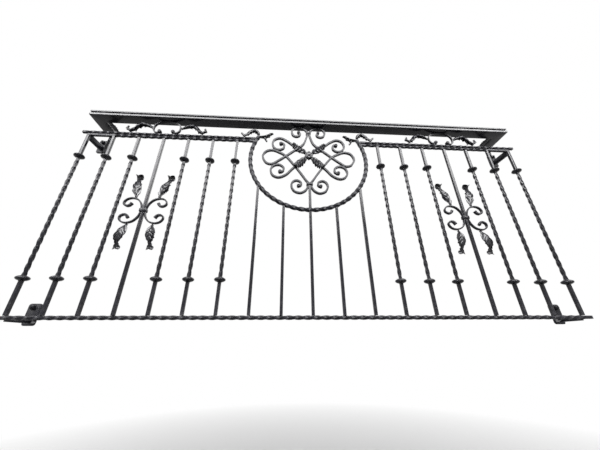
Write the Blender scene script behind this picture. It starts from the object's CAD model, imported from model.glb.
# %% [markdown]
# # A wrought iron balcony
# The railing arrives as a fixed frame of exact solids. This lesson forges finer pieces over
# them, in the order of a smith's work: the bars are drawn out and twisted straight, the scrolls
# are bent, and the leaves are chased flat and then curled. The frame stays where it is.

# %% Load the frame
from math import cos, exp, floor, pi, radians, sin, sqrt

import bmesh
import bpy
from mathutils import Matrix, Vector


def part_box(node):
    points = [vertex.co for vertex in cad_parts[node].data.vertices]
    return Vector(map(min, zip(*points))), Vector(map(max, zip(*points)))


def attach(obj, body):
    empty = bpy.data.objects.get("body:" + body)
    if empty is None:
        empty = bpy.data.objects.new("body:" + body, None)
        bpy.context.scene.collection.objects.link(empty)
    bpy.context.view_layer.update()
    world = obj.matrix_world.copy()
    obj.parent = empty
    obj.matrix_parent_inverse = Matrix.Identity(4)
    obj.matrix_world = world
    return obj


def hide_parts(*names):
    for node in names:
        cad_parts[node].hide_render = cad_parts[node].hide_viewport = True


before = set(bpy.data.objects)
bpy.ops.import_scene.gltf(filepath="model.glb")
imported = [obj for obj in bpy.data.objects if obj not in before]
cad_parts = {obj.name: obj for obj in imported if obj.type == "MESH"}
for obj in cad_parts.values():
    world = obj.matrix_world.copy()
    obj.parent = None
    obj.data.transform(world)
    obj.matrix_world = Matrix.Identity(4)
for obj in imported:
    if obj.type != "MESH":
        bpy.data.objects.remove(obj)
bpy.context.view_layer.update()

print("nodes in the frame:", len(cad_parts))

# %% [markdown]
# ## The eye
# The railing hangs above a street and is seen from below and a little to the left of its
# middle. A wide lens makes the outer bars lean. A camera can be aimed with a constraint, but
# this one also rolls a little, so its three axes are worked out from its heading, tilt and roll.

# %% Place the camera
heading, tilt, roll = radians(3.74), radians(25.27), radians(-0.44)
eye_at, focal_length = (0.974, -1.104, -0.0855), 15.162
ahead = Vector((sin(heading), cos(heading), 0))
aside = Vector((cos(heading), -sin(heading), 0))
sky_way = Vector((0, 0, 1))
looking = cos(tilt) * ahead + sin(tilt) * sky_way
head_up = -sin(tilt) * ahead + cos(tilt) * sky_way
eye_right = cos(roll) * aside + sin(roll) * head_up
eye_up = -sin(roll) * aside + cos(roll) * head_up

lens = bpy.data.cameras.new("street_view")
lens.lens, lens.sensor_width = focal_length, 36
lens.clip_start, lens.clip_end = 0.01, 100
eye = bpy.data.objects.new("street_view", lens)
eye.matrix_world = Matrix.Translation(eye_at) @ Matrix(
    (eye_right, eye_up, -looking)).transposed().to_4x4()
bpy.context.collection.objects.link(eye)
bpy.context.scene.camera = eye
bpy.context.scene.view_settings.view_transform = "Standard"
print("camera at", tuple(round(c, 3) for c in eye.location))

# %% [markdown]
# ## Light
# An overcast sky lights the iron from the front and above, and shows in it as a broad pale
# reflection. One wide area lamp stands for that sky. A second one is seen only by glossy rays,
# because a real sky is far brighter in a reflection than the light that it spreads. It hangs a
# little in front of the first, since of two lamps in one place a ray meets only one. Two small
# weak lamps keep the ends and the back from going flat.

# %% Hang the lamps
mid_x = 1.1
sky_wide, sky_high = 11.0, 2.8


def lamp(name, place, aim, wide, high, watts, soft=True):
    """An area lamp that faces aim. One that isn't soft shows only in reflections."""
    light = bpy.data.lights.new(name, "AREA")
    light.shape, light.size, light.size_y, light.energy = "RECTANGLE", wide, high, watts
    holder = bpy.data.objects.new(name, light)
    turn = (Vector(aim) - Vector(place)).to_track_quat("-Z", "Y")
    holder.matrix_world = Matrix.Translation(place) @ turn.to_matrix().to_4x4()
    holder.visible_diffuse = soft
    bpy.context.collection.objects.link(holder)


lamp("overcast_sky", (mid_x, -4.0, 4.3), (mid_x, 0, 0.6), sky_wide, sky_high, 640)
lamp("sky_in_the_gloss", (mid_x, -3.95, 4.25), (mid_x, 0, 0.6), sky_wide, sky_high, 1150,
     soft=False)
lamp("side_sky", (-3.6, -2.2, 2.2), (mid_x, 0, 0.5), 2.4, 2.4, 60)
lamp("back_sky", (2.4, 3.6, 3.2), (mid_x, 0, 0.5), 3.0, 2.0, 60)

# %% [markdown]
# ## White world
# The world looks white to the camera and in reflections, and carries only a weak soft light, as
# in a narrow street. A white world at full strength would light the iron from every side and
# wash its black out, so the Light Path node tells these rays apart. One small helper makes the
# shader nodes here and in all the materials.

# %% A helper for shader nodes
def add_node(tree, kind, settings=None, **values):
    """A shader node with its settings and the values of its named sockets."""
    made = tree.nodes.new("ShaderNode" + kind)
    for key, value in (settings or {}).items():
        setattr(made, key, value)
    for key, value in values.items():
        made.inputs[key.replace("_", " ")].default_value = value
    return made


def seen_by_rays(tree):
    """1 for camera, glossy and transmission rays, 0 for the rays that carry soft light."""
    path = add_node(tree, "LightPath")
    total = path.outputs["Is Camera Ray"]
    for name in ("Is Glossy Ray", "Is Transmission Ray"):
        either = add_node(tree, "Math", {"operation": "ADD", "use_clamp": True})
        tree.links.new(total, either.inputs[0])
        tree.links.new(path.outputs[name], either.inputs[1])
        total = either.outputs[0]
    return total


print("helpers: add_node and seen_by_rays")

# %% Give the world a white look and a weak light
soft_sky = 0.16
world = bpy.data.worlds.new("overcast")
bpy.context.scene.world = world
world.use_nodes = True
backdrop = world.node_tree.nodes["Background"]
backdrop.inputs["Color"].default_value = (1, 1, 1, 1)
strength = add_node(world.node_tree, "MapRange", To_Min=soft_sky, To_Max=1.0)
world.node_tree.links.new(seen_by_rays(world.node_tree), strength.inputs["Value"])
world.node_tree.links.new(strength.outputs["Result"], backdrop.inputs["Strength"])
print("soft light of the world:", soft_sky)

# %% [markdown]
# ## Floor
# The floor is a plain pale plane. Its colour runs out to a white glow further off, so that it
# meets the white world without an edge, and near the railing it keeps the railing's shadow. To
# the soft rays it is as dark as a street, so that the undersides of the iron stay dark.

# %% Lay the floor
floor_z, floor_half = -0.9, 14.0
slab = bmesh.new()
bmesh.ops.create_grid(slab, x_segments=1, y_segments=1, size=floor_half)
bmesh.ops.translate(slab, verts=slab.verts, vec=(mid_x, 0, floor_z))
floor_mesh = bpy.data.meshes.new("pale_floor")
slab.to_mesh(floor_mesh)
slab.free()
ground = bpy.data.objects.new("pale_floor", floor_mesh)
bpy.context.collection.objects.link(ground)
print("floor at", floor_z)

# %% Colour the floor
street_tone, floor_tone, street_glow = (0.12, 0.12, 0.12, 1), (0.62, 0.62, 0.62, 1), 0.1
pale_to, white_from = 1.6, 3.6
pale = bpy.data.materials.new("pale_floor")
pale.use_nodes = True
tree = pale.node_tree
link = tree.links.new
skin = tree.nodes["Principled BSDF"]
skin.inputs["Roughness"].default_value = 0.9
seen = seen_by_rays(tree)
tone = add_node(tree, "Mix", {"data_type": "RGBA"}, A=street_tone, B=floor_tone)
link(seen, tone.inputs["Factor"])
link(tone.outputs["Result"], skin.inputs["Base Color"])

away = add_node(tree, "VectorMath", {"operation": "DISTANCE"})
away.inputs[1].default_value = (mid_x, 0, floor_z)
fade = add_node(tree, "MapRange", From_Min=pale_to, From_Max=white_from)
link(add_node(tree, "TexCoord").outputs["Object"], away.inputs[0])
link(away.outputs["Value"], fade.inputs["Value"])

far_glow = add_node(tree, "MapRange", To_Min=street_glow)
glow = add_node(tree, "Emission")
blend = add_node(tree, "MixShader")
link(seen, far_glow.inputs["Value"])
link(far_glow.outputs["Result"], glow.inputs["Strength"])
link(fade.outputs["Result"], blend.inputs["Fac"])
link(skin.outputs["BSDF"], blend.inputs[1])
link(glow.outputs["Emission"], blend.inputs[2])
link(blend.outputs["Shader"], tree.nodes["Material Output"].inputs["Surface"])
floor_mesh.materials.append(pale)
print("floor goes from pale to white between", pale_to, "and", white_from)

# %% [markdown]
# ## Black paint on iron
# Outdoor ironwork is brushed with a black enamel. Its colour is never quite even, brush marks
# and forge scale lie under it, dust settles on what faces up, and twisted crests are rubbed
# thin. A painted picture could show all that, but noise textures need no unwrapping and stay
# sharp at any distance. They read Object coordinates, so they keep their place from any side.

# %% Helpers for the paint's layers
def noise(tree, spot, **settings):
    grain = add_node(tree, "TexNoise", **settings)
    tree.links.new(spot, grain.inputs["Vector"])
    return grain.outputs["Fac"]


def ranged(tree, value, **limits):
    """The value, stretched from one range to another."""
    stretch = add_node(tree, "MapRange", **limits)
    tree.links.new(value, stretch.inputs["Value"])
    return stretch.outputs["Result"]


def times(tree, one, other):
    product = add_node(tree, "Math", {"operation": "MULTIPLY"})
    tree.links.new(one, product.inputs[0])
    tree.links.new(other, product.inputs[1])
    return product.outputs["Value"]


def coated(tree, colour, share, coat):
    """The colour, with the coat over it where share is 1."""
    mixed = add_node(tree, "Mix", {"data_type": "RGBA"}, B=coat)
    tree.links.new(share, mixed.inputs["Factor"])
    tree.links.new(colour, mixed.inputs["A"])
    return mixed.outputs["Result"]


print("helpers: noise, ranged, times and coated")

# %% Black in patches, dust and rubbed crests
deep_black, grey_black = (0.009, 0.009, 0.012, 1), (0.024, 0.024, 0.031, 1)
dust_grey, bare_grey = (0.110, 0.104, 0.096, 1), (0.16, 0.157, 0.165, 1)


def mottled(tree, spot):
    tint = add_node(tree, "ValToRGB")
    dark, light = tint.color_ramp.elements
    dark.position, light.position = 0.32, 0.72
    dark.color, light.color = deep_black, grey_black
    tree.links.new(noise(tree, spot, Scale=14, Detail=5, Roughness=0.6), tint.inputs["Fac"])
    return tint.outputs["Color"]


def dust_share(tree, spot, facing, dust):
    """How dusty a place is: more where it faces up, and in specks."""
    upward = add_node(tree, "SeparateXYZ")
    tree.links.new(facing.outputs["Normal"], upward.inputs["Vector"])
    lying = ranged(tree, upward.outputs["Z"], From_Min=0.35, From_Max=0.95)
    specks = noise(tree, spot, Scale=90, Detail=6, Roughness=0.7)
    return times(tree, lying, ranged(tree, specks, From_Min=0.4, From_Max=0.7, To_Max=dust))


def rubbed_share(tree, spot, facing, wear):
    """How bare a place is: more on sharp crests, and in patches."""
    crest = ranged(tree, facing.outputs["Pointiness"], From_Min=0.515, From_Max=0.58,
                   To_Max=wear)
    patches = noise(tree, spot, Scale=60, Detail=4)
    return times(tree, crest, ranged(tree, patches, From_Min=0.42, From_Max=0.62))


print("black from", deep_black[:3], "to", grey_black[:3])

# %% Hammer and brush marks
hammer_deep, brush_deep = 0.0016, 0.0004


def uneven(tree, spot, hammer):
    """The normal of hammered iron with brush marks over it."""
    forged = add_node(tree, "Bump", Strength=hammer, Distance=hammer_deep)
    brushed = add_node(tree, "Bump", Strength=0.06, Distance=brush_deep)
    tree.links.new(noise(tree, spot, Scale=70, Detail=3, Roughness=0.5), forged.inputs["Height"])
    tree.links.new(noise(tree, spot, Scale=420, Detail=2), brushed.inputs["Height"])
    tree.links.new(forged.outputs["Normal"], brushed.inputs["Normal"])
    return brushed.outputs["Normal"]


print("hammer marks up to", hammer_deep * 1000, "mm deep")

# %% [markdown]
# One function lays these layers over each other, and each piece chooses how hammered, dusty,
# worn and glossy its paint is. The rails and the ring show no sharp glints, so their coat is
# duller than the bars', and the leaves get a brighter one that shows their chasing.

# %% Mix the paints
dust_dulls = 0.4


def iron_paint(name, hammer, dust=0.5, wear=0.0, gloss=0.18, shine=0.18):
    """A material. gloss is the paint's roughness and shine the strength of its reflection."""
    paint = bpy.data.materials.new(name)
    paint.use_nodes = True
    tree = paint.node_tree
    link = tree.links.new
    skin = tree.nodes["Principled BSDF"]
    skin.inputs["Specular IOR Level"].default_value = shine
    spot = add_node(tree, "TexCoord").outputs["Object"]
    facing = add_node(tree, "NewGeometry")
    dusty = dust_share(tree, spot, facing, dust)
    colour = coated(tree, mottled(tree, spot), dusty, dust_grey)
    if wear:
        colour = coated(tree, colour, rubbed_share(tree, spot, facing, wear), bare_grey)
    link(colour, skin.inputs["Base Color"])

    sheen = ranged(tree, noise(tree, spot, Scale=38, Detail=4), From_Min=0.3, From_Max=0.7,
                   To_Min=gloss - 0.05, To_Max=gloss + 0.1)
    dulled = add_node(tree, "Math", {"operation": "MULTIPLY_ADD", "use_clamp": True})
    dulled.inputs[1].default_value = dust_dulls
    link(dusty, dulled.inputs[0])
    link(sheen, dulled.inputs[2])
    link(dulled.outputs["Value"], skin.inputs["Roughness"])
    link(uneven(tree, spot, hammer), skin.inputs["Normal"])
    return paint


stock_paint = iron_paint("painted_bar", hammer=0.08, wear=0.25)
rail_stock_paint = iron_paint("painted_rail_bar", hammer=0.1, wear=0.25, gloss=0.34, shine=0.13)
scroll_paint = iron_paint("painted_scroll", hammer=0.1, wear=0.2, shine=0.12)
leaf_paint = iron_paint("painted_leaf", hammer=0.15, wear=0.5, gloss=0.26, shine=0.36)
rail_paint = iron_paint("painted_handrail", hammer=0.05, dust=0.12, shine=0.24)
bracket_paint = iron_paint("painted_bracket", hammer=0.3, gloss=0.4)
fixing_paint = iron_paint("painted_fixing", hammer=0.2, gloss=0.4)
print("paints:", [m.name for m in bpy.data.materials if m.name.startswith("painted")])

# %% [markdown]
# ## Measures
# The pieces are drawn in millimetres in the railing's own frame: X from the middle bar, Y from
# the bars' middle towards the back, Z from the bars' feet. Two solids of the frame say where
# that is, and one matrix takes a finished piece there.

# %% Find the railing's own frame
mm = 0.001
fit = 0.15
bar, pitch, bar_top, hand_z = 12, 120, 833, 949
ring_box, rail_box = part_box("ring"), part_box("handrail_front")
middle = (ring_box[0] + ring_box[1]) / 2
feet = Vector((middle.x, middle.y, rail_box[0].z - hand_z * mm))
to_part = Matrix.Translation(feet) @ Matrix.Diagonal((mm, mm, mm, 1))
across, outward, upright = Vector((1, 0, 0)), Vector((0, -1, 0)), Vector((0, 0, 1))
depthwise = Vector((0, 1, 0))
print("bars' feet at", tuple(round(c, 4) for c in feet))

# %% [markdown]
# Each piece ends the same way. Its millimetres become metres in the part's frame, its normals
# are made to agree, it is shaded smooth up to a sharp angle, painted, and hung on the frame's
# body in place of the solids that it stands for.

# %% Finish a piece
made_triangles = {}
sharp_from = radians(38)


def moved(piece, matrix):
    bmesh.ops.transform(piece, matrix=matrix, verts=piece.verts)
    return piece


def hang(name, piece, paint, *stands_for):
    moved(piece, to_part)
    bmesh.ops.recalc_face_normals(piece, faces=piece.faces)
    mesh = bpy.data.meshes.new(name)
    piece.to_mesh(mesh)
    piece.free()
    mesh.shade_smooth()
    mesh.set_sharp_from_angle(angle=sharp_from)
    mesh.materials.append(paint)
    hung = bpy.data.objects.new(name, mesh)
    bpy.context.collection.objects.link(hung)
    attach(hung, "root")
    if stands_for:
        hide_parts(*stands_for)
    mesh.calc_loop_triangles()
    made_triangles[name] = len(mesh.loop_triangles)


print("edges sharper than", round(sharp_from * 180 / pi), "degrees stay sharp")

# %% Join and mirror pieces
def add(whole, part, matrix=None):
    """Moves part into whole, through the matrix if there is one."""
    if matrix is not None:
        moved(part, matrix)
    carrier = bpy.data.meshes.new("carrier")
    part.to_mesh(carrier)
    part.free()
    whole.from_mesh(carrier)
    bpy.data.meshes.remove(carrier)
    return whole


def flipped(piece):
    """The piece itself, moved to the other side of the middle bar."""
    bmesh.ops.scale(piece, vec=(-1, 1, 1), verts=piece.verts)
    bmesh.ops.reverse_faces(piece, faces=piece.faces)
    return piece


print("helpers: add and flipped")

# %% [markdown]
# ## Drawing out a bar
# A smith's bar has soft corners. Here a square face gets its corners bevelled, and the spin
# operator draws it out: with no angle it makes a straight bar, and with an angle and a lift
# together it twists the bar as it grows. A Simple Deform modifier twists too, but it would turn
# the plain ends with the rest. All bars are the same bought stock and wind the same way.

# %% Section and drawing out
soft_edge, steps_a_quarter, crest_gap = 1.1, 10, 35


def section(piece, wide, thick, soft, segments=3):
    """A face with rounded corners, ready to be drawn out."""
    made = bmesh.ops.create_grid(piece, x_segments=1, y_segments=1, size=0.5)
    bmesh.ops.scale(piece, vec=(wide, thick, 1), verts=made["verts"])
    bmesh.ops.bevel(piece, geom=made["verts"], offset=soft, offset_type="OFFSET",
                    segments=segments, profile=0.5, affect="VERTICES", material=-1)
    return [f for f in piece.faces if f.is_valid][-1]


def draw_out(piece, face, length, steps, quarters=0.0):
    """Pulls the face along Z, turning it by so many quarter turns of left-handed twist."""
    pulled = bmesh.ops.spin(piece, geom=[face], cent=(0, 0, 0), axis=(0, 0, 1),
                            dvec=(0, 0, length / steps), angle=-quarters * pi / 2,
                            steps=steps, use_duplicate=False)
    return next(g for g in pulled["geom_last"] if isinstance(g, bmesh.types.BMFace))


print("a crest every", crest_gap, "mm")

# %% Plain and twisted bars
plain_steps = 2


def bar_end(piece, low):
    """The square face that a bar grows from, at the height low."""
    face = section(piece, bar, bar, soft_edge)
    bmesh.ops.translate(piece, verts=piece.verts, vec=(0, 0, low))
    return face


def plain_bar(low, high, steps):
    piece = bmesh.new()
    draw_out(piece, bar_end(piece, low), high - low, steps)
    return piece


def twisted_bar(low, start, quarters, high):
    """Plain from low to start, twisted over the quarter turns, then plain up to high."""
    piece = bmesh.new()
    twist = quarters * crest_gap
    face = draw_out(piece, bar_end(piece, low), start - low, plain_steps)
    face = draw_out(piece, face, twist, quarters * steps_a_quarter, quarters)
    draw_out(piece, face, high - start - twist, plain_steps)
    return piece


sample = twisted_bar(0, 10, 4, 160)
print("faces in a bar of four quarter turns:", len(sample.faces))
sample.free()

# %% [markdown]
# ## Knuckles
# A knuckle is a forged collar shaped like a flat spinning top, slipped over the bar where its
# twist begins. A squashed sphere would come near, but it has no rims. So the knuckle is turned
# from half a profile, as on a lathe: a chain of points is spun once round.

# %% Turn a knuckle
def turned(profile, steps=28):
    """A solid of revolution about Z from (radius, height) points that start and end at 0."""
    piece = bmesh.new()
    chain = [piece.verts.new((r, 0, z)) for r, z in profile]
    edges = [piece.edges.new(pair) for pair in zip(chain, chain[1:])]
    bmesh.ops.spin(piece, geom=chain + edges, cent=(0, 0, 0), axis=(0, 0, 1), angle=2 * pi,
                   steps=steps, use_merge=True, use_duplicate=False)
    bmesh.ops.remove_doubles(piece, verts=piece.verts, dist=0.001)
    return piece


knuckle_profile = [(0, -10.8), (7.8, -10.8), (9, -10.2), (9.8, -9.4), (13, -8.4), (17, -6.6),
                   (20.2, -4.3), (21.7, -2), (22, 0), (21.6, 1.9), (20, 4), (17, 6.2),
                   (13, 8.1), (9.8, 9.2), (9, 10), (7.8, 10.6), (0, 10.6)]
print("knuckles are", 2 * max(r for r, z in knuckle_profile), "mm across")

# %% [markdown]
# ## Upright bars
# Twelve of the nineteen bars are twisted between two knuckles, two are plain and carry the
# side scrolls, and five stop short under the ring. The frame knows how high each one reaches.
# Plain bars keep a trace of the hammer, which the paint's bump gives.

# %% Set the upright bars
middle_bar, plain_from_middle = 10, (0, 1, 2, 6)
bury = 0.5
knuckle_low, knuckle_high = 131, bar_top - 127
twist_quarters = floor((knuckle_high - knuckle_low) / crest_gap)
twist_gap = (knuckle_high - knuckle_low - twist_quarters * crest_gap) / 2
for number in range(1, 20):
    name = f"bar_{number:02d}"
    low, high = ((corner.z - feet.z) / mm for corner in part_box(name))
    if abs(number - middle_bar) in plain_from_middle:
        piece = plain_bar(low - bury, high, 8)
    else:
        piece = twisted_bar(low - bury, knuckle_low + twist_gap, twist_quarters, high + bury)
        for height in (knuckle_low, knuckle_high):
            add(piece, turned(knuckle_profile, 32), Matrix.Translation((0, 0, height)))
    bmesh.ops.translate(piece, verts=piece.verts, vec=((number - middle_bar) * pitch, 0, 0))
    hang(f"upright_{number:02d}", piece, stock_paint, name)
print("upright bars:", sum(1 for n in made_triangles if n.startswith("upright")))

# %% [markdown]
# ## Rails
# The bottom rail and the two top rails are the same twisted bar lying down. They are twisted
# upright, then laid over with one matrix. The left ones are the right ones after half a turn
# and not their mirror image, so the twist keeps its hand on both sides of the ring.

# %% Measure the rails and the ring
half_span, reach = 9 * pitch, bar / sqrt(2)
overhang, plain_end, tuck = 34, 10, 3
rail_end = half_span + overhang
lower_z = bar_top + bar / 2
upper_z = lower_z + 2 * reach
ring_r, ring_z, ring_rise, ring_w = 288, 736, 27, 16
ring_reach = ring_w / sqrt(2)
ring_out = ring_r + ring_reach
twist_start = sqrt(ring_out ** 2 - (bar_top - ring_z) ** 2) + plain_end
print("rails end at", rail_end)

# %% Lay the rails
lay_over = Matrix.Rotation(pi / 2, 4, "Y")
half_turn = Matrix.Rotation(pi, 4, "Z")


def lying(start_x, start, quarters, end_x, z):
    return moved(twisted_bar(start_x, start, quarters, end_x),
                 Matrix.Translation((0, 0, z)) @ lay_over)


bottom_quarters = 2 * floor((rail_end - plain_end) / crest_gap)
hang("rail_bottom", lying(-rail_end, -bottom_quarters * crest_gap / 2, bottom_quarters, rail_end,
                          -reach), rail_stock_paint, "bottom_rail")
for node, z, end_x, last in (
        ("top_rail_lower", lower_z, half_span + bar / 2, half_span - pitch + bar / 2),
        ("top_rail_upper", upper_z, rail_end, rail_end - plain_end)):
    inner = sqrt(ring_out ** 2 - (z - ring_z) ** 2) - tuck
    quarters = floor((last - twist_start) / crest_gap)
    for side in ("right", "left"):
        piece = lying(inner, twist_start, quarters, end_x, z)
        if side == "left":
            moved(piece, half_turn)
        hang(f"{node}_{side}_bar", piece, rail_stock_paint, f"{node}_{side}")
print("quarter turns in the bottom rail:", bottom_quarters)

# %% [markdown]
# ## Bending
# Ring, scrolls and leaves are all made straight and then bent, as at the forge. A straight
# piece stands along Z from 0 to 1, and each of its points is carried to the same share of a
# line: its X follows a fixed direction, and its Y the line's own upright. A Curve modifier bends
# pieces too, but it tilts them as it likes where the line turns sharply.

# %% Lines to bend along
def spline(points):
    """The place and heading at each share of a smooth line through the points."""
    knots = [Vector(p) for p in points]
    last = len(knots) - 1

    def at(share):
        i = min(int(share * last), last - 1)
        t = share * last - i
        a, b, c, d = (knots[min(max(i + k, 0), last)] for k in (-1, 0, 1, 2))
        place = 0.5 * (2 * b + (c - a) * t + (2 * a - 5 * b + 4 * c - d) * t ** 2
                       + (3 * b - a - 3 * c + d) * t ** 3)
        slope = 0.5 * ((c - a) + 2 * (2 * a - 5 * b + 4 * c - d) * t
                       + 3 * (3 * b - a - 3 * c + d) * t ** 2)
        return place, slope.normalized()
    return at


def arc(radius, centre, first, last):
    """The same for an arc in the railing's plane, by its angles in degrees."""
    def at(share):
        a = radians(first + (last - first) * share)
        return (Vector((centre[0] + radius * cos(a), 0, centre[1] + radius * sin(a))),
                Vector((-sin(a), 0, cos(a))))
    return at


print("half way round an arc:", tuple(round(c) for c in arc(100, (0, 0), 0, 90)(0.5)[0]))

# %% Bend a straight piece along a line
def bend(piece, at, wide):
    """Carries each point to its share of the line. Its X follows wide."""
    stations = {}
    for v in piece.verts:
        share = round(min(max(v.co.z, 0), 1), 6)
        if share not in stations:
            place, way = at(share)
            stations[share] = (place, wide.cross(way).normalized())
        place, lift = stations[share]
        v.co = place + wide * v.co.x + lift * v.co.y
    return piece


print("helper: bend")

# %% [markdown]
# ## The ring
# The ring's bar is twisted first and bent second, over nearly two thirds of a circle that is
# open at the top. A torus with a section would have no twist. The number of quarter turns is
# even, so both ends look alike.

# %% Bend the ring
ring_arc = 180 + 2 * ring_rise
ring_quarters = 2 * round(ring_r * radians(ring_arc) / 2 / crest_gap)
stock = bmesh.new()
face = section(stock, ring_w, ring_w, soft_edge * ring_w / bar)
draw_out(stock, face, 1, ring_quarters * steps_a_quarter, ring_quarters)
bend(stock, arc(ring_r, (0, ring_z), 180 - ring_rise, 360 + ring_rise), depthwise)
hang("ring_bar", stock, rail_stock_paint, "ring")
print("quarter turns in the ring:", ring_quarters)

# %% [markdown]
# ## Flat bars and buds
# The scrolls are flat bars set on edge, so that they are slim from the front and deep from the
# side. Their ends are rolled up tight into buds. A real bud is a bar wound on itself, which
# would take many turns of spiral for a piece the size of a coin. Here it is a short turned plug
# that lies across the railing, with round rims and a hollow in each face.

# %% Flat bar and bud
scroll_d, scroll_t, flat_soft, swelling, bud_deep = 12, 6, 1.0, 4, 18


def flat_bar(points, thick, swell=1.0, steps=8, deep=scroll_d, slip=0.0):
    """A flat bar on edge along the points, swollen over the last few of them at both ends. It
    slips back by slip from one end to the other, so that it never crosses itself flush."""
    piece = bmesh.new()
    face = section(piece, deep, thick, flat_soft)
    draw_out(piece, face, 1, (len(points) - 1) * steps)
    for v in piece.verts:
        to_end = min(v.co.z, 1 - v.co.z) * len(points) / swelling
        v.co.y *= 1 + (swell - 1) * max(0, 1 - to_end)
        v.co.x += slip * (v.co.z - 0.5)
    return bend(piece, spline([(x, 0, z) for x, z in points]), depthwise)


def bud(x, z, radius):
    """A rolled end: a short barrel with round rims and a hollow in each face."""
    rim = [(0, 1.6), (0.3, 1.4), (0.52, 0.2), (0.7, 0), (0.86, 0.7), (0.96, 2.2), (1, 4.4)]
    low = [(radius * r, h - bud_deep / 2) for r, h in rim]
    return moved(turned(low + [(r, -h) for r, h in reversed(low)], 22),
                 Matrix.Translation((x, 0, z)) @ Matrix.Rotation(pi / 2, 4, "X"))


print("scrolls are", scroll_t, "by", scroll_d, "mm")

# %% [markdown]
# ## Centre ornament
# Two long scrolls cross at the rosette, and two looping strands run between the handrail and
# the ring. Where bars cross, the real ones are half lapped. Here they pass through each other,
# and the strands are half a millimetre shallower and slip back a little along their length, so
# that no two faces lie in one plane and flicker. The points are those that the solids were
# drawn with, and the bars are a millimetre thicker than the solids, as the real ones look bold.

# %% Points of the centre scrolls
rosette_z, centre_t = 758, 10
up_k = (hand_z - rosette_z) / 191
down_k = (rosette_z - ring_z + ring_r - ring_reach) / 298.7


def fitted(points):
    """Points from the rosette's middle, fitted between the ring and the handrail."""
    return [(x, rosette_z + z * (up_k if z > 0 else down_k)) for x, z in points]


upper_arm = [(137, 75), (124, 62), (127, 42), (146, 30), (172, 38), (183, 66), (173, 95),
             (146, 106), (113, 90), (80, 62), (40, 31)]
lower_arm = [(42, -43), (83, -87), (112, -121), (147, -138), (176, -127), (186, -98),
             (174, -71), (147, -64), (127, -78), (125, -97), (138, -109)]
rising = fitted(upper_arm + [(0, 0)] + [(-x, z) for x, z in lower_arm])
strand = fitted([
    (48, 147), (43, 137), (50, 126), (66, 122), (81, 132), (86, 154), (76, 175), (52, 185.6),
    (24, 177), (8.6, 158), (4.9, 144), (9, 118), (26, 72), (66, 34), (115, -9), (150, -38),
    (182, -60), (212, -52), (228, -17), (214, 16), (182, 26), (150, 14), (115, -9), (76, -60),
    (50, -98), (19, -148), (4.9, -170), (11, -194), (24, -212), (47, -222), (74, -212),
    (86, -186), (80, -163), (63, -153), (45, -160), (40, -176), (49, -186)])
print("points in a scroll and a strand:", len(rising), len(strand))

# %% Bend the centre scrolls
arm_bud, arm_bud_off = 9, (4, -5)
strand_bud, strand_bud_offs = 8, ((3, 4), (4, 3))
strand_in, strand_slip = 0.5, 0.4


def rising_arm():
    piece = flat_bar(rising, centre_t)
    for (x, z), side in ((rising[0], 1), (rising[-1], -1)):
        add(piece, bud(x + arm_bud_off[0] * side, z + arm_bud_off[1] * side, arm_bud))
    return piece


def right_strand():
    piece = flat_bar(strand, centre_t, deep=scroll_d - strand_in, slip=strand_slip)
    for (x, z), (to_x, to_z) in zip((strand[0], strand[-1]), strand_bud_offs):
        add(piece, bud(x + to_x, z + to_z, strand_bud))
    return piece


hang("scroll_rising", rising_arm(), scroll_paint, "rising_scroll")
hang("scroll_falling", flipped(rising_arm()), scroll_paint, "falling_scroll")
hang("strand_right_bar", right_strand(), scroll_paint, "right_strand")
hang("strand_left_bar", flipped(right_strand()), scroll_paint, "left_strand")
print("centre ornament height:", round(hand_z - (ring_z - ring_r)))

# %% [markdown]
# ## Clasps and post
# Two clasps hold the strands together. A clasp is a strip wrapped round the bars: a block with
# softened edges here, since its inside never shows. The post stands on the ring and runs up
# between the lower curls.

# %% Fit the clasps and the post
def soften(piece, soft, segments=2):
    """Rounds every edge of the piece."""
    bmesh.ops.bevel(piece, geom=piece.edges[:], offset=soft, offset_type="OFFSET",
                    segments=segments, profile=0.5, affect="EDGES", material=-1)
    return piece


def block(wide, high, soft, x, z, deep=18):
    """A wrapped strip, as a block with round edges in the railing's plane."""
    piece = bmesh.new()
    bmesh.ops.create_cube(piece, size=1)
    bmesh.ops.scale(piece, vec=(wide, deep, high), verts=piece.verts)
    soften(piece, soft, 3)
    bmesh.ops.translate(piece, verts=piece.verts, vec=(x, 0, z))
    return piece


clasp_up, clasp_down = (z for x, z in fitted([(0, 145), (0, -172)]))
upper_clasp, lower_clasp, post_short = (25, 11, 1.6), (31, 16, 2.0), 10
wrapped = block(*upper_clasp, 0, clasp_up)
add(wrapped, block(*lower_clasp, 0, clasp_down))
hang("strand_clasps", wrapped, scroll_paint, "clasps")
post = plain_bar(ring_z - ring_r, clasp_down - post_short, 4)
hang("post_on_ring", post, stock_paint, "ring_post")
print("clasps at", round(clasp_up), "and", round(clasp_down))

# %% [markdown]
# ## Leaves
# A leaf is chased from sheet: a raised spine, a hollow flute behind each lobe, and teeth at the
# edge that lean towards the tip. Sculpting would shape one leaf well, but there are 24 of them,
# so a grid stands for the sheet and one rule shapes it. Each row is drawn in to the outline, the
# spine and flutes lift the middle, and the two halves fold down from the spine. The flat sheet
# is extruded to its thickness, and the whole is bent along the leaf's line.

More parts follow.
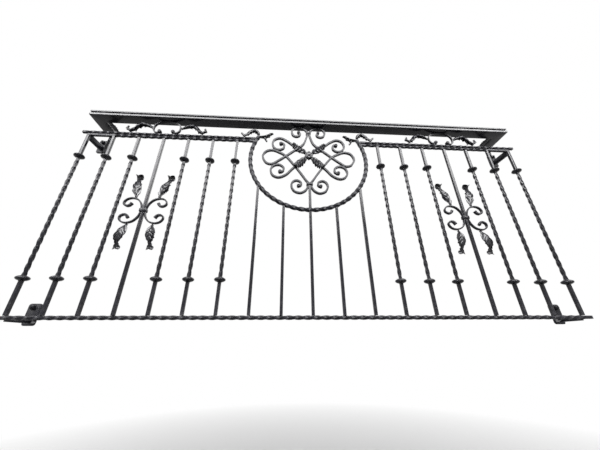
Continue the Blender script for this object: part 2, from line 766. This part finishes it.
# %% Outlines of the leaves
pointed = [(0, 0.35), (0.15, 0.75), (0.4, 1), (0.7, 0.85), (0.9, 0.5), (1, 0.15)]
hooded = [(0, 0.2), (0.1, 0.32), (0.22, 0.85), (0.36, 1), (0.48, 0.86), (0.57, 0.5),
          (0.64, 0.46), (0.76, 0.7), (0.9, 0.72), (1, 0.45)]
waisted = [(0, 0.2), (0.1, 0.32), (0.25, 0.82), (0.38, 1), (0.5, 0.8), (0.66, 0.34),
           (0.85, 0.62), (1, 0.5)]
full = [(0, 0.35), (0.12, 0.8), (0.34, 1), (0.58, 0.9), (0.76, 0.55), (0.88, 0.5), (1, 0.3)]
strap = [(0, 0.35), (0.15, 0.75), (0.4, 1), (0.8, 0.75), (1, 0.3)]


def looked_up(table, share):
    """The table's value at share, eased between its rows."""
    for (low, a), (high, b) in zip(table, table[1:]):
        if share <= high:
            t = (share - low) / (high - low)
            return a + (b - a) * t * t * (3 - 2 * t)
    return table[-1][1]


print("half width at half length:", [round(looked_up(o, 0.5), 2) for o in (pointed, full)])

# %% Chase and curl a leaf
leaf_t, leaf_columns, rows_a_lobe, lobe_share = 2.2, 16, 12, 0.88


def thicken(piece, vec):
    """Extrudes the piece's open faces by vec and keeps them as its other side."""
    made = bmesh.ops.extrude_face_region(piece, geom=piece.faces[:], use_keep_orig=True)["geom"]
    bmesh.ops.translate(piece, vec=vec,
                        verts=[g for g in made if isinstance(g, bmesh.types.BMVert)])
    return piece


def leaf(points, wide, half, lobes, relief, outline=pointed, cut=(0.35, 0.35), fold=0,
         lean=0.2, ragged=1):
    """A leaf along the points. cut is how deep each edge is notched, up to the share ragged of
    its length, and fold is the turn of its edges in degrees."""
    piece = bmesh.new()
    bmesh.ops.create_grid(piece, x_segments=leaf_columns, y_segments=lobes * rows_a_lobe, size=0.5)
    for v in piece.verts:
        u, share = 2 * v.co.x, v.co.y + 0.5
        deep = (cut[0] if u < 0 else cut[1]) * (share < ragged)
        phase = lobes * share % 1
        notch = ((1 - phase) ** 1.8 if phase < lobe_share
                 else (phase - lobe_share) / (1 - lobe_share))
        along = min(1, share + lean * abs(u) ** 1.4 * (1 - share) * min(1, 5 * share))
        side = half * looked_up(outline, along) * (1 - deep * notch * abs(u) ** 1.5)
        spine = exp(-(u / 0.14) ** 2)
        flute = 1.3 * (sin(pi * phase) - 0.6) * abs(u) ** 0.7 * min(1, 6 * deep)
        turn = radians(fold) * abs(u) / 2
        height = relief * (0.6 * spine + flute) - side * abs(u) * sin(turn)
        v.co = (side * u * cos(turn), height, along)
    return bend(thicken(piece, (0, -leaf_t, 0)), spline(points), wide)


print("rows in a leaf of six lobes:", 6 * rows_a_lobe)

# %% [markdown]
# ## Leaves and rosette of the centre
# Four leaves lie along the crossed arms and end in the rosette, a boss ringed by eight round
# petals. The leaves start flat on the arms' front and lift a little at the tips.

# %% Leaves of the centre
centre_leaf = 104
centre = bmesh.new()
for side in (1, -1):
    for angle, k in ((38, up_k), (-47, down_k)):
        out = Vector((side * cos(radians(angle)), 0, sin(radians(angle)) * k))
        flat = Vector((side * sin(radians(angle)), 0, -cos(radians(angle)))) * side
        line = [out * centre_leaf * q + upright * rosette_z
                - depthwise * (scroll_d / 2 + leaf_t + centre_leaf * y)
                for q, y in ((0.2, 0), (0.45, 0.02), (0.7, 0.01), (0.86, 0.04), (0.97, 0.12))]
        add(centre, leaf(line, flat, half=25, lobes=6, relief=5.5, cut=(0.3, 0.3), fold=55))
hang("rosette_leaves", centre, leaf_paint, "centre_leaves")
print("centre leaves:", made_triangles["rosette_leaves"], "triangles")

# %% Rosette
rosette_r, petals = 22, 8


def petal_rosette(radius):
    boss = turned([(0, -2), (radius * 0.5, -2), (radius * 0.5, 3), (radius * 0.44, 6.5),
                   (radius * 0.25, 9), (0, 9.6)], 24)
    petal = bmesh.new()
    bmesh.ops.create_uvsphere(petal, u_segments=16, v_segments=10, radius=1)
    bmesh.ops.scale(petal, vec=(radius * 0.34, radius * 0.3, 3.2), verts=petal.verts)
    bmesh.ops.translate(petal, verts=petal.verts, vec=(radius * 0.66, 0, 2.2))
    for k in range(petals):
        add(boss, petal.copy(), Matrix.Rotation(k * 2 * pi / petals, 4, "Z"))
    petal.free()
    return boss


bosses = bmesh.new()
for face_way in (1, -1):
    stand = Matrix.Translation((0, -face_way * scroll_d / 2, rosette_z)) @ Matrix.Rotation(
        face_way * pi / 2, 4, "X")
    add(bosses, petal_rosette(rosette_r), stand)
hang("petal_bosses", bosses, leaf_paint, "rosette")
print("rosette:", made_triangles["petal_bosses"], "triangles")

# %% [markdown]
# ## Leaves on the ring's ends
# Each end of the ring grows three leaves from a turned ferrule: a long one that arches outwards
# with hanging lobes, one that reaches in over the ring, and a small hook below it. The lines are
# given in shares of the long leaf's size, so that the three keep together.

# %% Leaf the ring's ends
tip_x = ring_r * cos(radians(ring_rise))
tip_z = ring_z + ring_r * sin(radians(ring_rise))
ring_leaf = 88
ferrule = [(0, 0), (8, 0), (9.4, 2.5), (9, 6), (6.4, 9.5), (0, 9.5)]
arched = {"half": 21, "lobes": 6, "outline": full, "cut": (0.5, 0.5), "fold": 110}


def from_tip(*shares):
    """Points from the ring's end, in shares of its leaf."""
    return [(tip_x + p * ring_leaf, 0, tip_z + q * ring_leaf) for p, q in shares]


def ring_end():
    piece = moved(turned(ferrule, 24), Matrix.Translation((tip_x, 0, tip_z))
                  @ Matrix.Rotation(-radians(ring_rise), 4, "Y"))
    add(piece, leaf(from_tip((-0.03, 0.07), (-0.02, 0.3), (0.1, 0.5), (0.33, 0.57),
                             (0.54, 0.46), (0.69, 0.26), (0.84, 0.17), (1, 0.3)),
                    Vector((-0.3, -0.95, 0)), relief=5, **arched))
    add(piece, leaf(from_tip((-0.03, 0.06), (-0.27, 0.07), (-0.5, 0.16), (-0.68, 0.31),
                             (-0.85, 0.32)),
                    Vector((0, 0.97, -0.25)).normalized(), half=15, lobes=4, relief=5,
                    outline=strap, fold=80))
    return add(piece, leaf(from_tip((-0.25, 0.07), (-0.34, -0.09), (-0.43, -0.27),
                                    (-0.52, -0.3)),
                           outward, half=11, lobes=2, relief=3.5, fold=30))


hang("ring_end_right", ring_end(), leaf_paint, "ring_leaves_right")
hang("ring_end_left", flipped(ring_end()), leaf_paint, "ring_leaves_left")
print("ring's ends at", round(tip_x), "and", round(tip_z))

# %% [markdown]
# ## Side scrolls
# Two C scrolls stand back to back on each plain bar, held by a collar. A C could be one arc, but
# a forged one tightens towards its ends. It is drawn by its depth and its length instead, so
# that a list of shares gives each kind of C its own curl.

# %% Shapes of the C scrolls
side_curl = [(0.57, 0.6), (0.66, 0.41), (0.8, 0.35), (0.96, 0.46), (0.99, 0.66), (0.9, 0.86),
             (0.75, 0.97), (0.55, 0.99), (0.28, 0.85), (0.07, 0.48)]
top_curl = [(0.87, 0.5), (0.96, 0.6), (0.96, 0.76), (0.86, 0.92), (0.7, 0.99), (0.45, 0.98),
            (0.22, 0.82), (0.06, 0.46)]


def c_line(curl, out, length):
    """Points (depth, along) of a C from its half curl."""
    deep, half = out - scroll_t, (length - scroll_t) / 2
    both = curl + [(0, 0)] + [(d, -s) for d, s in reversed(curl)]
    return [(scroll_t / 2 + d * deep, s * half) for d, s in both]


print("points in the C scrolls:", 2 * len(side_curl) + 1, 2 * len(top_curl) + 1)

# %% Bend the side scrolls
ornament_x = 6 * pitch
ornament_bars = (("left", -ornament_x), ("right", ornament_x))
collar_z, side_out, side_len = 426, 87, 126
side_back, collar = bar / 2 + fit, (30 + 2 * fit, 16, 2.0)
for side, x in ornament_bars:
    pair = bmesh.new()
    for way in (1, -1):
        line = [(x + way * (side_back + d), collar_z + s)
                for d, s in c_line(side_curl, side_out, side_len)]
        add(pair, flat_bar(line, scroll_t, swell=2))
    hang(f"c_scrolls_{side}", pair, scroll_paint, f"side_scrolls_{side}")

collars = bmesh.new()
for side, x in ornament_bars:
    add(collars, block(*collar, x, collar_z))
hang("scroll_collars", collars, scroll_paint, "side_collars")
print("side scrolls at", ornament_x, "from the middle")

# %% [markdown]
# ## Leaves on the side scrolls
# Each pair of C scrolls carries four leaves. The upper ones rise, lean back and end in a small
# hood, and the lower ones hang, belly forward and end in a hook. Their outer edges are notched
# deeply and the inner ones hardly. One leaf of each kind is made, and mirrored and copied.

# %% Leaf the side scrolls
side_leaf, side_leaf_half, shoulder_share = 125, 22.5, 0.55
shoulder = side_back + scroll_t / 2 + shoulder_share * (side_out - scroll_t)
end = side_len / 2 + 2 * fit
rising_line = [(-0.03, 0, 0), (-0.02, 0.02, 0.12), (0.03, 0.01, 0.3), (0.06, 0, 0.46),
               (0.08, 0.05, 0.64), (0.12, 0.13, 0.82), (0.14, 0.18, 0.94), (0.14, 0.13, 1),
               (0.14, 0.04, 0.98)]
hanging_line = [(-0.01, 0, 0), (0, -0.04, -0.11), (0.03, -0.12, -0.29), (0.06, -0.14, -0.45),
                (0.08, -0.11, -0.61), (0.09, -0.04, -0.75), (0.09, 0, -0.84),
                (0.09, -0.04, -0.9)]
outer_leaves = bmesh.new()
for line, up, wide, outline, cut, ragged in (
        (rising_line, 1, across, hooded, (0.08, 0.26), 0.57),
        (hanging_line, -1, -across, waisted, (0.26, 0.08), 0.71)):
    points = [(shoulder + side_leaf * p[0], side_leaf * p[1],
               collar_z + up * end + side_leaf * p[2]) for p in line]
    add(outer_leaves, leaf(points, wide, side_leaf_half, lobes=7, relief=6.5, outline=outline,
                           cut=cut, fold=25, lean=0.32, ragged=ragged))
four_leaves = flipped(outer_leaves.copy())
add(four_leaves, outer_leaves)
side_leaf_pieces = bmesh.new()
for side, x in ornament_bars:
    add(side_leaf_pieces, four_leaves.copy(), Matrix.Translation((x, 0, 0)))
four_leaves.free()
hang("side_scroll_leaves", side_leaf_pieces, leaf_paint, "side_leaves")
print("side leaves:", made_triangles["side_scroll_leaves"], "triangles")

# %% [markdown]
# ## Scrolls under the handrail
# A C scroll lies on its side between the top rail and the handrail above each plain bar. Its
# curled ends carry buds, and a leaf arches away from each shoulder with its lobes hanging. The
# same flat bar, bud and leaf serve again, with other lines.

# %% Draw the top scrolls
upper_top, under_rail = upper_z + reach, hand_z - fit
top_high, top_len, top_leaf, top_bud = hand_z - upper_top - 2 * fit, 138, 120, 9.5
top_shoulder = under_rail - scroll_t / 2 - shoulder_share * (top_high - scroll_t)
arch_line = ((-0.01, 0), (0.22, 0.16), (0.43, 0.23), (0.64, 0.13), (0.8, -0.07),
             (0.91, -0.14), (1, -0.08), (0.98, 0.03))
for side, x in ornament_bars:
    line = [(x + s, under_rail - d) for d, s in c_line(top_curl, top_high, top_len)]
    piece = flat_bar(line, scroll_t)
    for bud_x, bud_z in (line[0], line[-1]):
        add(piece, bud(bud_x, bud_z, top_bud))
    for way in (1, -1):
        arch = [(x + way * (top_len / 2 + top_leaf * p), 0, top_shoulder + top_leaf * q)
                for p, q in arch_line]
        add(piece, leaf(arch, depthwise * -way, relief=5.5, **arched))
    hang(f"top_scroll_{side}_piece", piece, scroll_paint, f"top_scroll_{side}")
print("room under the handrail:", round(top_high, 1), "mm")

# %% [markdown]
# ## Handrail
# The handrail is a moulded section: a lip with a round nose, a deep groove over it and a crowned
# cap. A bevelled box would lose the groove, which draws the dark line along the rail. So one
# face has that outline, is extruded to length, and its end points are then moved on to the
# mitre, where the front meets the returns.

# %% Draw the moulding
hand_x, hand_d, hand_front, hand_t = half_span + 22, 55, 27, 36
lip_h, groove_h, groove_in = 13, 9, 6
nose_r, bead_r, cap_r, crown_rise = 3.2, 1.2, 7, 4


def rounded(centre, radius, first, last, steps=5):
    """Points on an arc from the angle first to the angle last, in degrees."""
    angles = [radians(first + (last - first) * k / steps) for k in range(steps + 1)]
    return [(centre[0] + radius * cos(a), centre[1] + radius * sin(a)) for a in angles]


def hand_outline():
    """Points (depth, height) round the section, from the middle of its underside."""
    cap_low, middle_d = lip_h + groove_h, hand_d / 2
    nose = (rounded((nose_r, nose_r), nose_r, 270, 180)
            + rounded((bead_r, lip_h - bead_r), bead_r, 180, 110, 3))
    groove = [(groove_in * sin(radians(a)), lip_h + groove_h * (1 - cos(radians(a))) / 2)
              for a in range(30, 151, 15)]
    cap = (rounded((bead_r, cap_low + bead_r), bead_r, 250, 180, 3)
           + rounded((cap_r, hand_t - 10), cap_r, 180, 118))
    crown = [(x, hand_t - crown_rise * ((x - middle_d) / (middle_d - 3)) ** 2)
             for x in (8, 12, 17, 22)]
    side = nose + groove + cap + crown
    return side + [(middle_d, hand_t)] + [(hand_d - x, z) for x, z in reversed(side)]


def moulding(length):
    """The section along X from 0 to length, its outer edge at y = 0."""
    piece = bmesh.new()
    piece.faces.new([piece.verts.new((0, x, z)) for x, z in hand_outline()])
    return thicken(piece, (length, 0, 0))


print("handrail section:", len(hand_outline()), "points")

# %% Mitre and hang the handrail
back_y = 110
front = moulding(2 * hand_x)
for v in front.verts:
    v.co.x += v.co.y if v.co.x < hand_x else -v.co.y
bmesh.ops.translate(front, verts=front.verts, vec=(-hand_x, -hand_front, hand_z))
hang("handrail_front_moulding", front, rail_paint, "handrail_front")
for side, way in (("right", 1), ("left", -1)):
    piece = moulding(back_y + hand_front)
    for v in piece.verts:
        v.co.x += v.co.y if v.co.x < 1 else 0
        v.co = (way * (hand_x - v.co.y), v.co.x - hand_front, v.co.z + hand_z)
    hang(f"handrail_{side}_moulding", piece, rail_paint, f"handrail_{side}_return")
print("handrail:", 2 * hand_x, "mm long")

# %% [markdown]
# ## Leaves along the returns
# A narrow ribbed leaf lies flat along the inner edge of each return and runs back from the
# front rail. It is the same leaf along a straight line, unfolded.

# %% Leaf the returns
return_half = 15
corner_x = hand_x - hand_d - return_half - 2 * fit
line = [(corner_x, hand_d - hand_front + q, hand_z + 5) for q in (2 * fit, 25, 50, 76)]
return_leaf = leaf(line, -across, return_half, lobes=5, relief=4.5, outline=strap)
add(return_leaf, flipped(return_leaf.copy()))
hang("return_leaf_pair", return_leaf, leaf_paint, "return_leaves")
print("return leaves:", made_triangles["return_leaf_pair"], "triangles")

# %% [markdown]
# ## Brackets
# A bracket is two flat legs on edge, one straight back and one slanting, welded to a plate with
# round corners. Turned cubes would meet the plate with one edge only, so each leg is a face
# between two points with ends that lie along the plate. The plate is a face too, whose corners
# are bevelled round before it is extruded and its rims are softened.

# %% Shape a bracket
plate_w, plate_h, plate_t, plate_corner, leg_t = 46, 82, 8, 9, 10
plate_x, near_x, far_x = half_span + 6, half_span - 2, half_span - 100
join_x = near_x - 6


def forged(piece, vec):
    """Extrudes the piece's only face by vec and softens every edge."""
    return soften(thicken(piece, vec), 0.9)


def leg(foot_x, low, high):
    piece = bmesh.new()
    slant = leg_t / 2 * sqrt((join_x - foot_x) ** 2 + back_y ** 2) / back_y
    start, back = bar / 2 - 1, back_y - plate_t + 1
    piece.faces.new([piece.verts.new(p) for p in (
        (foot_x - slant, start, low), (foot_x + slant, start, low),
        (join_x + slant, back, low), (join_x - slant, back, low))])
    return forged(piece, (0, 0, high))


def bracket(plate_low, leg_low, leg_high):
    piece = bmesh.new()
    section(piece, plate_w, plate_h, plate_corner, 6)
    stand = Matrix.Translation((plate_x, back_y - 0.02, plate_low + plate_h / 2))
    moved(piece, stand @ Matrix.Rotation(pi / 2, 4, "X"))
    forged(piece, (0, 0.04 - plate_t, 0))
    add(piece, leg(near_x, leg_low, leg_high))
    return add(piece, leg(far_x, leg_low, leg_high))


print("plates:", plate_w, "by", plate_h)

# %% Hang the brackets
upper_leg, lower_leg, leg_drop, plate_drop = 30, 15, 20, 27.5
upper_low = bar_top + bar - upper_leg
for height, measures in (("upper", (upper_low, upper_low, upper_leg)),
                         ("lower", (-plate_drop, -leg_drop, lower_leg))):
    for side, piece in (("right", bracket(*measures)), ("left", flipped(bracket(*measures)))):
        hang(f"{height}_bracket_{side}", piece, bracket_paint, f"bracket_{height}_{side}")
print("brackets:", [n for n in made_triangles if "bracket" in n])

# %% [markdown]
# ## Anchors
# Each bracket's plate is held by one threaded anchor through its upper hole, with a washer and
# a nut. They are too small for a modelled thread to show. A six-sided circle is extruded and
# its rims are bevelled, and the washer and the stud are turned.

# %% Fit the anchors
washer = [(0, -0.2), (10, -0.2), (10.4, 0.3), (10.4, 1.6), (10, 2), (0, 2)]
stud = [(0, 0), (4.6, 0), (4.6, 13.4), (4.0, 14.2), (0, 14.2)]
nut_wide, nut_high, nut_seat = 16, 8, 1.8
hole_out, hole_down = 4, 14


def hex_nut(across_flats, high):
    piece = bmesh.new()
    bmesh.ops.create_circle(piece, cap_ends=True, segments=6, radius=across_flats / sqrt(3))
    return soften(thicken(piece, (0, 0, high)), 0.7)


fixings = bmesh.new()
for way in (1, -1):
    for plate_low in (upper_low, -plate_drop):
        stand = Matrix.Translation((way * (plate_x + hole_out), back_y - plate_t,
                                    plate_low + plate_h - hole_down)) @ Matrix.Rotation(
            pi / 2, 4, "X")
        add(fixings, turned(washer), stand)
        add(fixings, hex_nut(nut_wide, nut_high),
            stand @ Matrix.Translation((0, 0, nut_seat)))
        add(fixings, turned(stud, 18), stand)
hang("wall_anchors", fixings, fixing_paint)
print("triangles added:", sum(made_triangles.values()))

# %% [markdown]
# ## Size
# Blender must not change the railing's size, so the frame's box and the dressed model's box are
# written side by side, and the frame's checks close the lesson.

# %% Write both boxes and finish
print("largest pieces:", sorted(made_triangles.items(), key=lambda kv: -kv[1])[:4])
